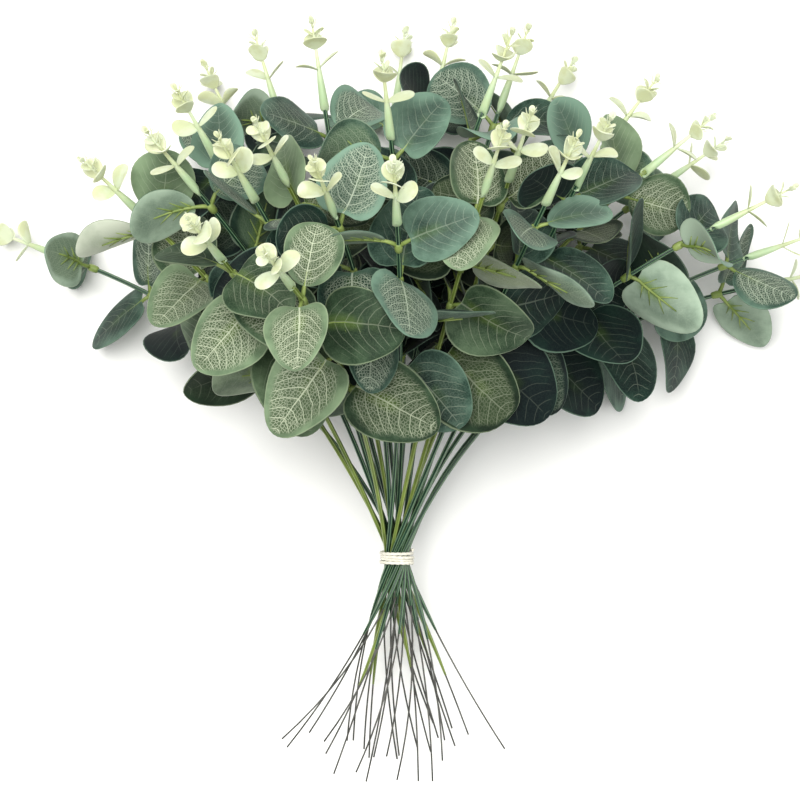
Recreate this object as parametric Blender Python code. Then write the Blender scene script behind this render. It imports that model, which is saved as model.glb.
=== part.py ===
"""A tied bunch of artificial eucalyptus picks, lying on its back on a surface.

Metres, +Z up. The head of the bunch points to +Y, the wire ends to -Y, and its front faces +Z.
Each pick is a leafy stem, with a bare wire below its coating, and a pale spray plugged on its top.
"""

import math
import random

import bmesh
import bpy
from mathutils import Matrix, Vector
from mathutils.bvhtree import BVHTree

# One tier for each column of stems in the tie, from the front of the bunch to its back.
# A pick is (lean to the right, lift towards the front), in degrees from +Y.
TIERS = (
    ((-20, 54), (0, 47)),
    ((-29, 46), (-21, 38), (-10, 45), (13, 40), (22, 38)),
    ((-36, 28), (-28, 31), (-16, 37), (-1, 29), (16, 36), (25, 32)),
    ((-24, 24), (-9, 13), (11, 17), (33, 13), (44, 14)),
    ((-49, -6), (-15, 2), (5, 0), (13, 9), (27, 8), (50, 3)),
    ((-21, -6), (0, -7), (18, -6), (36, -3), (54, -6)),
)
OLIVE_PICKS = (1, 3, 6, 8, 10, 12, 17)

# The waist, where the stems cross in a spiral
TIE_CENTRE = Vector((0, 0, 0.042))
STEM_REACH = 0.225  # tie to the stem's end, inside its spray
WIRE_REACH = 0.105  # tie to the wire's end
WIRE_LEAN = 0.6  # share of a pick's lean and lift that its wire keeps
WIRE_LIFT = 0.468
MIDDLE_COLUMN = 2.8
COLUMN_STEP = 0.00172
ROW_STEP = 0.0018
TWIST = 94  # change of slope per metre off the axis
RISE = 0.3  # slope of the waist towards the front

# Stem
STEM_RADIUS = 0.00102  # to the corners of its square section
WAIST_RADIUS = 0.0008  # where the twine squeezes the coating
WIRE_RADIUS = 0.0006  # to the corners of its three-sided section
WIRE_SEAT = 0.006  # length of wire inside the coating's end
STEM_SHARES = (0.25,)  # bends of the stem below its lowest leaves
WHORLS = (0.205, 0.177, 0.148, 0.119)  # tie to each pair of leaves
WHORL_JITTER = 0.004
BARE_TIER = 4  # wide picks of the tiers from this one on lack the lowest pair
BARE_LEAN = 30
FRONT_LIFT = 30

# Leaf
LEAF_LENGTHS = (0.029, 0.0335, 0.037, 0.039)
DROOPS = (58, 70, 82, 92)
OUTLINE = ((42, 1), (90, 1), (138, 1), (180, 0), (138, -1), (90, -1), (42, -1))  # (angle, side)
TIP = (180, 0)
CENTRE = (90, 0)
BLADE_HALF = 0.00035
NECK_HALF = 0.0006
ROOT_HALF = 0.0005
PETIOLE_CORNERS = ((-1, 0.6), (1, 0.6), (0, -1))
PETIOLE_ANGLE = math.radians(50)
ROOT_RISE = 0.0008  # from the whorl's place up the stem, past the stem's own bend
ROOT_OFFSET = 0.0005  # from the stem's axis, so that opposite petioles stay apart inside the stem
DROOP_LIMITS = (30, 125)
PETIOLE_FACES = 7
LOWEST_DIP = -0.016  # a leaf that would reach further below the surface is turned
LEAST_FLATNESS = 0.5
PRESS_DEPTH = 0.001
LEAF_GAP = 0.0004
MOST_TRIES = 400

# Spray
SOCKET_MOUTH = -0.008
SOCKET_DEPTH = 0.0004
SOCKET_RADIUS = 0.0026
BORE_RADIUS = 0.00155
SPRAY_RINGS = ((0.009, 0.0021), (0.034, 0.0009))
SPRAY_PAIRS = ((0.011, 55, 0), (0.020, 42, 90))
SPRAY_OUTLINE = ((0, 0.0004), (0.0046, 0.0062), (0, 0.0112), (-0.0046, 0.0062))
SPRAY_LEAF_HALF = 0.0004

# Tie
TIE_TURNS = 4
TIE_SEGMENTS = 12
TIE_RADIUS = 0.0071
TIE_PITCH = 0.0013
CORD_RADIUS = 0.00065

FLAT_ANGLE = math.radians(0.1)
UP = Vector((0, 0, 1))


def direction(lean, lift):
    lean, lift = math.radians(lean), math.radians(lift)
    return Vector((math.sin(lean) * math.cos(lift), math.cos(lean) * math.cos(lift), math.sin(lift)))


def bend(start, middle, end, share):
    """The point at a share of the curve from start to end that heads for middle first."""
    return start.lerp(middle, share).lerp(middle.lerp(end, share), share)


class Pick:
    """The place of one pick in the bunch and its own random draws."""

    def __init__(self, number, tier, row, lean, lift):
        draw = random.Random(number)
        across = (tier - MIDDLE_COLUMN) * COLUMN_STEP
        steepness = RISE - TWIST * across
        height = (row - (len(TIERS[tier]) - 1) / 2) * ROW_STEP * math.hypot(1, steepness)
        slope = Vector((TWIST * height, 1, steepness)).normalized()
        wire_reach = WIRE_REACH * draw.uniform(0.88, 1.05)
        start = TIE_CENTRE + Vector((across, 0, height))
        self.number = number
        self.lift = lift
        self.upper = (start, start + slope * STEM_REACH / 2, TIE_CENTRE + direction(lean, lift) * STEM_REACH)
        wire_end = TIE_CENTRE - direction(WIRE_LEAN * lean, WIRE_LIFT * lift) * wire_reach
        self.lower = (start, start - slope * wire_reach / 2, wire_end)
        self.wire_reach = wire_reach
        self.coat_share = draw.uniform(0.2, 0.55)
        self.roll = draw.uniform(0, math.pi)
        pairs = WHORLS[:-1] if tier >= BARE_TIER and abs(lean) > BARE_LEAN else WHORLS
        self.whorls = [(reach + draw.uniform(-WHORL_JITTER, WHORL_JITTER)) / STEM_REACH for reach in pairs]
        self.tip = self.upper[2]
        self.tip_axis = (self.tip - bend(*self.upper, self.whorls[0])).normalized()


def all_picks():
    picks = []
    for tier, row_of_picks in enumerate(TIERS):
        for row, (lean, lift) in enumerate(row_of_picks):
            picks.append(Pick(len(picks) + 1, tier, row, lean, lift))
    return picks


def section_axes(axis, reference=UP):
    """Two axes square to this one, the first also square to the reference."""
    side = axis.cross(reference).normalized()
    return side, side.cross(axis)


def section(centre, axis, radius, sides=4, reference=UP):
    """The corners of a regular section. A square one has two of its sides along the reference."""
    side, up = section_axes(axis, reference)
    angles = [math.pi * (0.25 + 2 * k / sides) for k in range(sides)]
    return [centre + (side * math.cos(angle) + up * math.sin(angle)) * radius for angle in angles]


def loft(rings):
    """A closed body through rings of equal size, as (points, triangles)."""
    count = len(rings[0])
    points = [point for ring in rings for point in ring]
    last = len(points) - count
    faces = [(0, k, k + 1) for k in range(1, count - 1)]
    faces += [(last, last + k + 1, last + k) for k in range(1, count - 1)]
    for start in range(0, last, count):
        for k in range(count):
            near, beside = start + k, start + (k + 1) % count
            faces += [(near, near + count, beside), (beside, near + count, beside + count)]
    return points, faces


def rod(route, radii, sides=4, reference=UP):
    steps = [(b - a).normalized() for a, b in zip(route, route[1:])]
    axes = [steps[0]] + [(a + b).normalized() for a, b in zip(steps, steps[1:])] + [steps[-1]]
    rings = zip(route, axes, radii)
    return loft([section(point, axis, radius, sides, reference) for point, axis, radius in rings])


def coated_stem(pick):
    below = [bend(*pick.lower, pick.coat_share * share) for share in (1, 0.5)]
    above = [bend(*pick.upper, share) for share in (*STEM_SHARES, *reversed(pick.whorls), 1)]
    route = below + [pick.upper[0]] + above
    radii = [STEM_RADIUS] * len(below) + [WAIST_RADIUS] + [STEM_RADIUS] * len(above)
    return rod(route, radii)


def bare_wire(pick):
    seat = pick.coat_share - WIRE_SEAT / pick.wire_reach
    shares = (seat, (pick.coat_share + 1) / 2, 1)
    return rod([bend(*pick.lower, share) for share in shares], [WIRE_RADIUS] * len(shares), 3)


def leaf_pose(pick, whorl, side, attempt):
    """One try at a leaf: its petiole, the blade's axes and its form. Later tries stray further and shrink."""
    draw = random.Random(pick.number * 100000 + whorl * 10000 + side * 5000 + attempt)
    spread = 1 + min(attempt, 120) / 25
    share = pick.whorls[whorl]
    root = bend(*pick.upper, share)
    axis = (bend(*pick.upper, share + 0.02) - root).normalized()
    across, up = section_axes(axis)
    roll = pick.roll + math.radians(90 * whorl + 180 * side + draw.uniform(-18, 18) * spread)
    out = across * math.cos(roll) + up * math.sin(roll)
    petiole = axis * math.cos(PETIOLE_ANGLE) + out * math.sin(PETIOLE_ANGLE)
    droop = DROOPS[whorl] + draw.uniform(-12, 12) * spread + (10 if pick.lift > FRONT_LIFT else 0)
    droop = math.radians(max(DROOP_LIMITS[0], min(DROOP_LIMITS[1], droop)))
    along = axis * math.cos(droop) + out * math.sin(droop)
    normal = axis * math.sin(droop) - out * math.cos(droop)
    # Most blades are turned some way towards the front, and some show it their underside.
    face = -1 if draw.random() < 0.22 else 1
    sideways = along.cross(normal)
    turn = math.atan2(face * sideways.z, face * normal.z)
    turn = max(-1.3, min(1.3, turn)) * draw.uniform(0.25, 0.95) + math.radians(draw.uniform(-20, 20) * spread)
    normal = Matrix.Rotation(turn, 3, along) @ normal
    length = LEAF_LENGTHS[whorl] * draw.uniform(0.94, 1.06) * (1 - 0.06 * (attempt // 50))
    return {
        "root": root + axis * ROOT_RISE + petiole * ROOT_OFFSET,
        "base": root + petiole * draw.uniform(0.0055, 0.0085),
        "petiole": petiole,
        "along": along,
        "normal": normal,
        "length": length,
        "half_width": length * draw.uniform(0.9, 0.99) / 2,
        "arch": math.radians(draw.uniform(-15, 55)),
        "cup": draw.uniform(-0.003, 0.005),
    }


def blade_point(pose, angle, side, grow=0):
    """The point and normal of the blade's middle surface. Angle runs from base to tip, side from -1 to 1."""
    length, half_width, arch = pose["length"] + grow, pose["half_width"], pose["arch"]
    along, normal = pose["along"], pose["normal"]
    run = (1 - math.cos(angle)) / 2
    lean = arch * run
    reach, sink = math.sin(lean) / arch * length, (1 - math.cos(lean)) / arch * length
    local_normal = normal * math.cos(lean) + along * math.sin(lean)
    sideways = along.cross(normal)
    offset = side * (half_width * math.sin(angle) * (1 + 0.15 * math.cos(angle)) + grow)
    rise = pose["cup"] * (offset / half_width) ** 2
    point = pose["base"] + along * reach - normal * sink + sideways * offset + local_normal * rise
    tilt = 2 * pose["cup"] * offset / half_width**2
    return point, (local_normal - sideways * tilt).normalized()


def pressed(point, normal, half):
    """Lays a point that would sink into the surface on it, with the blade flat there."""
    depth = half - point.z
    if depth > 0:
        flat = math.copysign(1, normal.z) * UP
        normal = normal.lerp(flat, min(1, depth / PRESS_DEPTH)).normalized()
        point = Vector((point.x, point.y, half))
    return point, normal


def leaf_faces():
    """The leaf's triangles, its petiole's first. Both faces of the blade are split alike."""
    faces = [(0, 2, 1), (0, 1, 4), (0, 4, 3), (1, 2, 5), (1, 5, 4), (2, 0, 3), (2, 3, 5)]
    left_neck, right_neck, under_neck, corners = 3, 4, 5, len(OUTLINE)
    top = [right_neck] + [6 + k for k in range(corners)] + [left_neck]
    under = [under_neck] + [7 + corners + k for k in range(corners)] + [under_neck]
    top_centre, under_centre = 6 + corners, 7 + 2 * corners
    for k in range(corners + 1):
        a, b, under_a, under_b = top[k], top[k + 1], under[k], under[k + 1]
        faces += [(a, under_b, b), (a, under_a, under_b)]
    # The tip is one flat triangle, and the rest fans out from the blade's middle.
    tip = 1 + OUTLINE.index(TIP)
    faces += [tuple(top[tip + k] for k in (-1, 0, 1)), tuple(under[tip - k] for k in (-1, 0, 1))]
    del top[tip], under[tip]
    faces.append((top_centre, left_neck, right_neck))
    for k in range(len(top) - 1):
        faces += [(top_centre, top[k], top[k + 1]), (under_centre, under[k + 1], under[k])]
    return faces


LEAF_FACES = leaf_faces()


def leaf_points(pose, grow=0):
    """The leaf's points: the petiole's root and neck, then the blade's upper and under faces."""
    axis = (pose["petiole"] + pose["along"]).normalized()
    side = pose["along"].cross(pose["normal"])
    side = (side - axis * side.dot(axis)).normalized()
    up = side.cross(axis)
    points = []
    for place, width in ((pose["root"], ROOT_HALF), (pose["base"], NECK_HALF + grow)):
        points += [place + (side * across + up * rise) * width for across, rise in PETIOLE_CORNERS]
    half = BLADE_HALF + grow
    middle = [blade_point(pose, math.radians(angle), k, grow) for angle, k in (*OUTLINE, CENTRE)]
    for sign in (1, -1):
        for point, normal in middle:
            point, normal = pressed(point, normal, BLADE_HALF)
            points.append(point + normal * sign * half)
    return points


def can_rest(pose):
    """Whether the surface would bend the blade only a little: not far, and not where it stands steep."""
    for angle, side in (*OUTLINE, CENTRE):
        point, normal = blade_point(pose, math.radians(angle), side)
        if point.z < LOWEST_DIP or (point.z < BLADE_HALF and abs(normal.z) < LEAST_FLATNESS):
            return False
    return True


def spray_stalk(pick):
    """The spray's socket and stalk, with a blind bore that the stem's end stands in."""
    axis = pick.tip_axis
    rings = [(SOCKET_DEPTH, BORE_RADIUS), (SOCKET_MOUTH, BORE_RADIUS), (SOCKET_MOUTH, SOCKET_RADIUS)]
    rings += SPRAY_RINGS
    return loft([section(pick.tip + axis * reach, axis, radius) for reach, radius in rings])


def spray_leaf(pick, reach, angle, roll):
    across, up = section_axes(pick.tip_axis)
    out = across * math.cos(roll) + up * math.sin(roll)
    along = pick.tip_axis * math.cos(angle) + out * math.sin(angle)
    normal = pick.tip_axis * math.sin(angle) - out * math.cos(angle)
    side = along.cross(normal)
    root = pick.tip + pick.tip_axis * reach
    outline = [root + side * x + along * y for x, y in SPRAY_OUTLINE]
    return loft([[point + normal * sign * SPRAY_LEAF_HALF for point in outline] for sign in (-1, 1)])


def spray_bodies(pick):
    bodies = [spray_stalk(pick)]
    for reach, angle, roll in SPRAY_PAIRS:
        for turn in (0, math.pi):
            bodies.append(spray_leaf(pick, reach, math.radians(angle), math.radians(roll) + turn))
    return bodies


def tie_cord():
    route = []
    for k in range(TIE_TURNS * TIE_SEGMENTS + 1):
        turn = 2 * math.pi * k / TIE_SEGMENTS
        along = (k / TIE_SEGMENTS - TIE_TURNS / 2) * TIE_PITCH
        centre = TIE_CENTRE + Vector((0, along, RISE * along))
        route.append(centre + Vector((math.cos(turn), 0, math.sin(turn))) * TIE_RADIUS)
    return rod(route, [CORD_RADIUS] * len(route), reference=Vector((0, 1, 0)))


class Obstacle:
    """A placed body that new leaves keep clear of. Its own pick's petioles may cross its first faces."""

    def __init__(self, number, body, root_faces=0):
        points, faces = body
        self.number = number
        self.root_faces = root_faces
        self.low, self.high = box_of(points)
        self.tree = BVHTree.FromPolygons(points, faces, all_triangles=True)


def box_of(points):
    low = Vector(min(point[k] for point in points) for k in range(3))
    high = Vector(max(point[k] for point in points) for k in range(3))
    return low, high


def is_clear(number, points, obstacles):
    low, high = box_of(points)
    tree = BVHTree.FromPolygons(points, LEAF_FACES, all_triangles=True)
    for other in obstacles:
        if any(low[k] > other.high[k] or high[k] < other.low[k] for k in range(3)):
            continue
        for face, other_face in tree.overlap(other.tree):
            allowed = number == other.number and face < PETIOLE_FACES and other_face < other.root_faces
            if not allowed:
                return False
    return True


def place_leaf(pick, whorl, side, obstacles):
    """The points of the first try that is clear of all that is placed, or None."""
    for attempt in range(MOST_TRIES):
        pose = leaf_pose(pick, whorl, side, attempt)
        if can_rest(pose) and is_clear(pick.number, leaf_points(pose, LEAF_GAP), obstacles):
            return leaf_points(pose)
    return None


def place_leaves(picks):
    """The leaf bodies of each pick, the front picks' first."""
    obstacles = [Obstacle(0, tie_cord())]
    for pick in picks:
        stem = coated_stem(pick)
        obstacles.append(Obstacle(pick.number, stem, len(stem[1])))
        obstacles.append(Obstacle(pick.number, bare_wire(pick)))
        obstacles += [Obstacle(pick.number, body) for body in spray_bodies(pick)]
    leaves = {pick.number: [] for pick in picks}
    left_out = 0
    for whorl in range(len(WHORLS)):
        for pick in picks:
            for side in (0, 1):
                points = place_leaf(pick, whorl, side, obstacles) if whorl < len(pick.whorls) else None
                if points:
                    body = (points, LEAF_FACES)
                    leaves[pick.number].append(body)
                    obstacles.append(Obstacle(pick.number, body, PETIOLE_FACES))
                elif whorl < len(pick.whorls):
                    left_out += 1
    print(sum(map(len, leaves.values())), "leaves placed,", left_out, "left out")
    return leaves


def new_material(name, colour, roughness):
    material = bpy.data.materials.new(name)
    material.use_nodes = True
    shader = material.node_tree.nodes["Principled BSDF"]
    shader.inputs["Base Color"].default_value = (*colour, 1)
    shader.inputs["Roughness"].default_value = roughness
    shader.inputs["Metallic"].default_value = 0
    return material


def new_object(name, body, collection):
    points, faces = body
    shape = bmesh.new()
    corners = [shape.verts.new(point) for point in points]
    for face in faces:
        shape.faces.new([corners[k] for k in face])
    bmesh.ops.recalc_face_normals(shape, faces=shape.faces)
    mesh = bpy.data.meshes.new(name)
    shape.to_mesh(mesh)
    shape.free()
    made = bpy.data.objects.new(name, mesh)
    collection.objects.link(made)
    return made


def fuse(name, bodies, material, parent):
    """One object from bodies that are sunk into the first one."""
    scene = bpy.context.scene.collection
    whole = new_object(name, bodies[0], scene)
    pieces = bpy.data.collections.new(f"{name}_pieces")
    scene.children.link(pieces)
    for number, body in enumerate(bodies[1:]):
        new_object(f"{name}_piece_{number}", body, pieces)
    union = whole.modifiers.new("union", "BOOLEAN")
    union.operation = "UNION"
    union.operand_type = "COLLECTION"
    union.collection = pieces
    bpy.context.view_layer.update()
    graph = bpy.context.evaluated_depsgraph_get()
    fused = bpy.data.meshes.new_from_object(whole.evaluated_get(graph))
    whole.modifiers.clear()
    whole.data = fused
    drop_flat_splits(fused)
    for piece in list(pieces.objects):
        bpy.data.objects.remove(piece)
    bpy.data.collections.remove(pieces)
    finish(whole, material, parent)
    return whole


def drop_flat_splits(mesh):
    """Merges the flat triangles that the union left, then splits the faces again."""
    shape = bmesh.new()
    shape.from_mesh(mesh)
    bmesh.ops.dissolve_limit(shape, angle_limit=FLAT_ANGLE, verts=shape.verts, edges=shape.edges)
    bmesh.ops.triangulate(shape, faces=shape.faces)
    shape.to_mesh(mesh)
    shape.free()


def finish(made, material, parent):
    made.data.materials.clear()
    made.data.materials.append(material)
    made.parent = parent


def clear_scene():
    for old in list(bpy.data.objects):
        bpy.data.objects.remove(old)


def main():
    clear_scene()
    scene = bpy.context.scene.collection
    dark_green = new_material("dark_green_pick", (0.07, 0.14, 0.11), 0.55)
    olive_green = new_material("olive_green_pick", (0.22, 0.29, 0.13), 0.55)
    pale_spray = new_material("pale_spray", (0.74, 0.78, 0.58), 0.45)
    twine = new_material("twine", (0.76, 0.74, 0.66), 0.9)
    bunch = bpy.data.objects.new("bunch", None)
    scene.objects.link(bunch)
    picks = all_picks()
    leaves = place_leaves(picks)
    made = []
    for pick in picks:
        green = olive_green if pick.number in OLIVE_PICKS else dark_green
        bodies = [coated_stem(pick), bare_wire(pick)] + leaves[pick.number]
        made.append(fuse(f"pick_{pick.number:02d}_stem", bodies, green, bunch))
        made.append(fuse(f"pick_{pick.number:02d}_spray", spray_bodies(pick), pale_spray, bunch))
    tie = new_object("tie", tie_cord(), scene)
    finish(tie, twine, bunch)
    made.append(tie)
    low, high = box_of([vertex.co for piece in made for vertex in piece.data.vertices])
    bunch.location = (-(low.x + high.x) / 2, -(low.y + high.y) / 2, -low.z)
    print("height of the lowest point before it is set down:", round(low.z * 1000, 4), "mm")


main()
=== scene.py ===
# A tied bunch of artificial eucalyptus: printed cloth leaves on ribbed, wired stems, pale bud sprays
# and twine. It lies on its back, and the camera looks straight down on it.
import math
import random

import bmesh
import bpy
from mathutils import Matrix, Vector
from mathutils.kdtree import KDTree


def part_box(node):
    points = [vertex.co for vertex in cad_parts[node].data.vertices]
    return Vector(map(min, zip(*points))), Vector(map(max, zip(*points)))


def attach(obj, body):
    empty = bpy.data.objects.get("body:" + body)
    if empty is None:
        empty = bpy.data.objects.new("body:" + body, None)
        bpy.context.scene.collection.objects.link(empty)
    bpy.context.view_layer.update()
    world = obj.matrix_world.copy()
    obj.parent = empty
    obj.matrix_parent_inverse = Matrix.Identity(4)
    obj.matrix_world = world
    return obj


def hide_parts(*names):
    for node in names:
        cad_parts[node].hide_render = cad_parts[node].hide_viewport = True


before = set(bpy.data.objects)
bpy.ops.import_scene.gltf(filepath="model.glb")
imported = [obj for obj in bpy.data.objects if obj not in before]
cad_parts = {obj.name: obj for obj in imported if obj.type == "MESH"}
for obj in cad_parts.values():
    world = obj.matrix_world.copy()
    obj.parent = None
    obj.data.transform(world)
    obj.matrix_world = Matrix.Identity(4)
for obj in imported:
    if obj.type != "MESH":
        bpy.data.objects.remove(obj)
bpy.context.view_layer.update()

up = Vector((0, 0, 1))

bunch = {
    # (lean to the right, lift to the front) of each pick in degrees, one row for each tier from front to back
    "tiers": (
        ((-20, 54), (0, 47)),
        ((-29, 46), (-21, 38), (-10, 45), (13, 40), (22, 38)),
        ((-36, 28), (-28, 31), (-16, 37), (-1, 29), (16, 36), (25, 32)),
        ((-24, 24), (-9, 13), (11, 17), (33, 13), (44, 14)),
        ((-49, -6), (-15, 2), (5, 0), (13, 9), (27, 8), (50, 3)),
        ((-21, -6), (0, -7), (18, -6), (36, -3), (54, -6)),
    ),
    "olive": (1, 3, 6, 8, 10, 12, 17),
    "tieCentre": Vector((0, 0, 0.042)),
    "stemReach": 0.225,
    "wireReach": 0.105,
    "wireLean": 0.6,
    "wireLift": 0.468,
    "wireReaches": (0.88, 1.05),
    "coatShares": (0.2, 0.55),
    "middleColumn": 2.8,
    "columnStep": 0.00172,
    "rowStep": 0.0018,
    "twist": 94,
    "rise": 0.3,
    "whorls": (0.205, 0.177, 0.148, 0.119),
    "whorlJitter": 0.004,
    "bareTier": 4,
    "bareLean": 30,
    "frontLift": 30,
    "leafLengths": (0.029, 0.0335, 0.037, 0.039),
    "droops": (58, 70, 82, 92),
    "petioleAngle": math.radians(50),
    "rootRise": 0.0008,
    "rootOffset": 0.0005,
    "ahead": 0.02,
    "solidHalf": 0.00035,
    "pressDepth": 0.001,
    # each leaf is a seeded draw, tried again with wider jitters; angles in degrees, turns in radians
    "tries": 400,
    "matchRoom": 5e-5,
    "seedSteps": (100000, 10000, 5000),
    "widestTry": 120,
    "wideningTries": 25,
    "rollJitter": 18,
    "droopJitter": 12,
    "frontDroop": 10,
    "droopLimits": (30, 125),
    "faceDownShare": 0.22,
    "turnLimit": 1.3,
    "turnShares": (0.25, 0.95),
    "turnJitter": 20,
    "lengthShares": (0.94, 1.06),
    "shrinkage": 0.06,
    "shrinkEvery": 50,
    "petioleLengths": (0.0055, 0.0085),
    "widthShares": (0.9, 0.99),
    "arches": (-15, 55),
    "cups": (-0.003, 0.005),
}

tieLow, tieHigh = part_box("tie")
shift = (tieLow + tieHigh) / 2 - bunch["tieCentre"]


def direction(lean, lift):
    lean, lift = math.radians(lean), math.radians(lift)
    return Vector((math.sin(lean) * math.cos(lift), math.cos(lean) * math.cos(lift), math.sin(lift)))


def bend(curve, share):
    start, middle, end = curve
    return start.lerp(middle, share).lerp(middle.lerp(end, share), share)


def crossAxes(axis):
    side = axis.cross(up).normalized()
    return side, side.cross(axis)


def jitter(draw, reach):
    return draw.uniform(-reach, reach)


def clamped(value, low, high):
    return max(low, min(high, value))


def layPick(number, tier, rank, lean, lift):
    draw = random.Random(number)
    centre = bunch["tieCentre"]
    across = (tier - bunch["middleColumn"]) * bunch["columnStep"]
    steepness = bunch["rise"] - bunch["twist"] * across
    inTier = len(bunch["tiers"][tier])
    height = (rank - (inTier - 1) / 2) * bunch["rowStep"] * math.hypot(1, steepness)
    slope = Vector((bunch["twist"] * height, 1, steepness)).normalized()
    wireReach = bunch["wireReach"] * draw.uniform(*bunch["wireReaches"])
    start = centre + Vector((across, 0, height))
    tip = centre + direction(lean, lift) * bunch["stemReach"]
    wireEnd = centre - direction(bunch["wireLean"] * lean, bunch["wireLift"] * lift) * wireReach
    olive = number in bunch["olive"]
    pick = {
        "number": number,
        "name": f"pick_{number:02d}",
        "olive": olive,
        "slot": "olive_green_pick" if olive else "dark_green_pick",
        "lift": lift,
        "upper": (start, start + slope * bunch["stemReach"] / 2, tip),
        "lower": (start, start - slope * wireReach / 2, wireEnd),
        "coatShare": draw.uniform(*bunch["coatShares"]),
        "roll": draw.uniform(0, math.pi),
        "tip": tip,
    }
    bare = tier >= bunch["bareTier"] and abs(lean) > bunch["bareLean"]
    reaches = bunch["whorls"][:-1] if bare else bunch["whorls"]
    moved = [reach + jitter(draw, bunch["whorlJitter"]) for reach in reaches]
    pick["whorls"] = [reach / bunch["stemReach"] for reach in moved]
    pick["tipAxis"] = (tip - bend(pick["upper"], pick["whorls"][0])).normalized()
    return pick


def poseLeaf(pick, whorl, side, attempt):
    # one try at a leaf, as the solids were laid out
    perPick, perWhorl, perSide = bunch["seedSteps"]
    draw = random.Random(pick["number"] * perPick + whorl * perWhorl + side * perSide + attempt)
    widening = 1 + min(attempt, bunch["widestTry"]) / bunch["wideningTries"]
    share = pick["whorls"][whorl]
    root = bend(pick["upper"], share)
    axis = (bend(pick["upper"], share + bunch["ahead"]) - root).normalized()
    across, rising = crossAxes(axis)
    # opposite leaves, each pair a quarter turn from the last
    moved = jitter(draw, bunch["rollJitter"]) * widening
    roll = pick["roll"] + math.radians(90 * whorl + 180 * side + moved)
    out = across * math.cos(roll) + rising * math.sin(roll)
    petiole = axis * math.cos(bunch["petioleAngle"]) + out * math.sin(bunch["petioleAngle"])
    lifted = bunch["frontDroop"] if pick["lift"] > bunch["frontLift"] else 0
    droop = bunch["droops"][whorl] + jitter(draw, bunch["droopJitter"]) * widening + lifted
    droop = math.radians(clamped(droop, *bunch["droopLimits"]))
    along = axis * math.cos(droop) + out * math.sin(droop)
    normal = axis * math.sin(droop) - out * math.cos(droop)
    # the face is turned part of the way up, or now and then down
    face = -1 if draw.random() < bunch["faceDownShare"] else 1
    sideways = along.cross(normal)
    turn = math.atan2(face * sideways.z, face * normal.z)
    turn = clamped(turn, -bunch["turnLimit"], bunch["turnLimit"]) * draw.uniform(*bunch["turnShares"])
    turn += math.radians(jitter(draw, bunch["turnJitter"]) * widening)
    normal = Matrix.Rotation(turn, 3, along) @ normal
    shrunk = 1 - bunch["shrinkage"] * (attempt // bunch["shrinkEvery"])
    length = bunch["leafLengths"][whorl] * draw.uniform(*bunch["lengthShares"]) * shrunk
    return {
        "whorl": whorl,
        "root": root + axis * bunch["rootRise"] + petiole * bunch["rootOffset"],
        "base": root + petiole * draw.uniform(*bunch["petioleLengths"]),
        "along": along,
        "normal": normal,
        "length": length,
        "halfWidth": length * draw.uniform(*bunch["widthShares"]) / 2,
        "arch": math.radians(draw.uniform(*bunch["arches"])),
        "cup": draw.uniform(*bunch["cups"]),
    }


def solidTip(pose):
    # where the solid's upper tip corner is
    lean, length = pose["arch"], pose["length"]
    reach, sink = math.sin(lean) / lean * length, (1 - math.cos(lean)) / lean * length
    point = pose["base"] + pose["along"] * reach - pose["normal"] * sink
    normal = pose["normal"] * math.cos(lean) + pose["along"] * math.sin(lean)
    point, normal = press(point, normal, bunch["solidHalf"])
    return point + normal * bunch["solidHalf"] + shift


def press(point, normal, half):
    # a leaf that meets the surface lies flat on it
    depth = half - point.z
    if depth > 0:
        flat = math.copysign(1, normal.z) * up
        normal = normal.lerp(flat, min(1, depth / bunch["pressDepth"])).normalized()
        point = Vector((point.x, point.y, half))
    return point, normal


def findLeaves(pick):
    # the tries that the solid of this pick really holds
    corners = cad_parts[pick["name"] + "_stem"].data.vertices
    nearest = KDTree(len(corners))
    for corner in corners:
        nearest.insert(corner.co, corner.index)
    nearest.balance()
    found = []
    for whorl in range(len(pick["whorls"])):
        for side in (0, 1):
            for attempt in range(bunch["tries"]):
                pose = poseLeaf(pick, whorl, side, attempt)
                distance = nearest.find(solidTip(pose))[2]
                if distance < bunch["matchRoom"]:
                    found.append(pose)
                    break
    return found


picks = []
for tier, row in enumerate(bunch["tiers"]):
    for rank, (lean, lift) in enumerate(row):
        picks.append(layPick(len(picks) + 1, tier, rank, lean, lift))
for pick in picks:
    pick["leaves"] = findLeaves(pick)
print("leaves found in the solids:", sum(len(pick["leaves"]) for pick in picks))

# shared modelling helpers

mergeDistance = 1e-6


def ringPlace(point, axis, side, radius):
    # puts a unit circle square to the axis at a point
    across = (side - axis * side.dot(axis)).normalized()
    turned = Matrix((across, axis.cross(across), axis)).transposed().to_4x4()
    return Matrix.Translation(point) @ turned @ Matrix.Scale(radius, 4)


def tangents(route):
    steps = [(b - a).normalized() for a, b in zip(route, route[1:])]
    return [steps[0]] + [(a + b).normalized() for a, b in zip(steps, steps[1:])] + [steps[-1]]


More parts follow.
